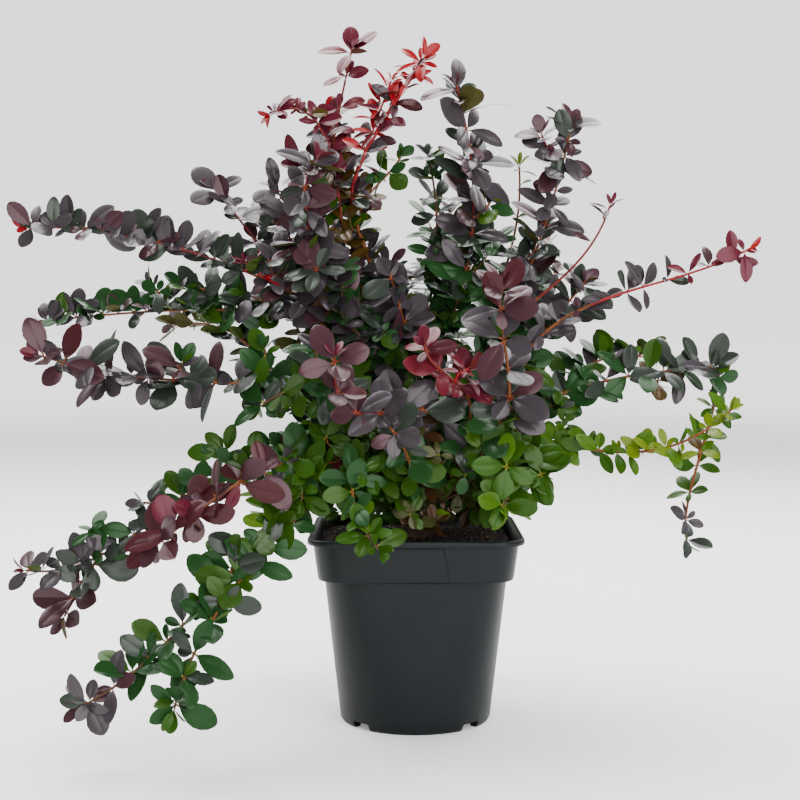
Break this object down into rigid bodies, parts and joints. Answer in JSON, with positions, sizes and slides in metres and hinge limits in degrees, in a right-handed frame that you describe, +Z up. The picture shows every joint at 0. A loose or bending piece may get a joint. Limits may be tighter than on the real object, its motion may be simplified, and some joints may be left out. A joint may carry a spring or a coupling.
{
  "type": "potted japanese barberry shrub",
  "caption": "Potted dwarf japanese barberry shrub: arching shoots of purple, red and green leaves over a square-topped nursery pot.",
  "frame": {"origin": "middle of the flat underside of the pot, on the surface that it stands on", "axes": "+Z up, +X to the right of the plant as it faces the viewer, -Y towards the viewer"},
  "size_m": [0.5545, 0.4233, 0.5209],
  "materials": {
    "pot_plastic": "dark anthracite moulded plastic, satin",
    "soil": "damp dark potting soil",
    "bark": "orange-brown to dark brown bark",
    "leaf_purple": "slate-purple glossy leaves",
    "leaf_red": "bright red to burgundy young leaves",
    "leaf_green": "mid to dark green leaves"
  },
  "bodies": {
    "root": {"bough_back": "bark", "bough_back_left": "bark", "bough_back_right": "bark", "bough_front": "bark", "bough_front_low": "bark", "bough_left": "bark", "bough_low_left": "bark", "bough_low_right": "bark", "bough_right": "bark", "bough_up_left": "bark", "bough_up_middle": "bark", "bough_up_right": "bark", "leaves_back_high": "leaf_purple", "leaves_back_left_high": "leaf_purple", "leaves_back_left_long": "leaf_purple", "leaves_back_left_low": "leaf_green", "leaves_back_long": "leaf_purple", "leaves_back_low": "leaf_green", "leaves_back_right_high": "leaf_purple", "leaves_back_right_long": "leaf_green", "leaves_back_right_low": "leaf_green", "leaves_front_left": "leaf_red", "leaves_front_pink": "leaf_red", "leaves_front_right": "leaf_purple", "leaves_inner_front": "leaf_green", "leaves_inner_high": "leaf_purple", "leaves_inner_left": "leaf_green", "leaves_inner_right": "leaf_green", "leaves_left_high": "leaf_purple", "leaves_left_long": "leaf_purple", "leaves_left_low": "leaf_purple", "leaves_left_middle": "leaf_green", "leaves_low_left_far": "leaf_purple", "leaves_low_left_front": "leaf_green", "leaves_low_left_hanging": "leaf_green", "leaves_low_left_red": "leaf_red", "leaves_over_rim": "leaf_green", "leaves_right_arm": "leaf_green", "leaves_right_hanging": "leaf_green", "leaves_right_inner": "leaf_purple", "leaves_right_long": "leaf_red", "leaves_right_low": "leaf_green", "leaves_right_red": "leaf_red", "leaves_rim_left": "leaf_green", "leaves_rim_right": "leaf_green", "leaves_top_left_olive": "leaf_purple", "leaves_top_left_red": "leaf_red", "leaves_top_red": "leaf_red", "leaves_top_right": "leaf_purple", "leaves_top_thin": "leaf_red", "leaves_upper_left": "leaf_purple", "leaves_upper_middle": "leaf_green", "leaves_upper_right": "leaf_purple", "leaves_upper_right_green": "leaf_green", "pot": "pot_plastic", "potting_soil": "soil", "root_crown": "bark"}
  },
  "joints": []
}
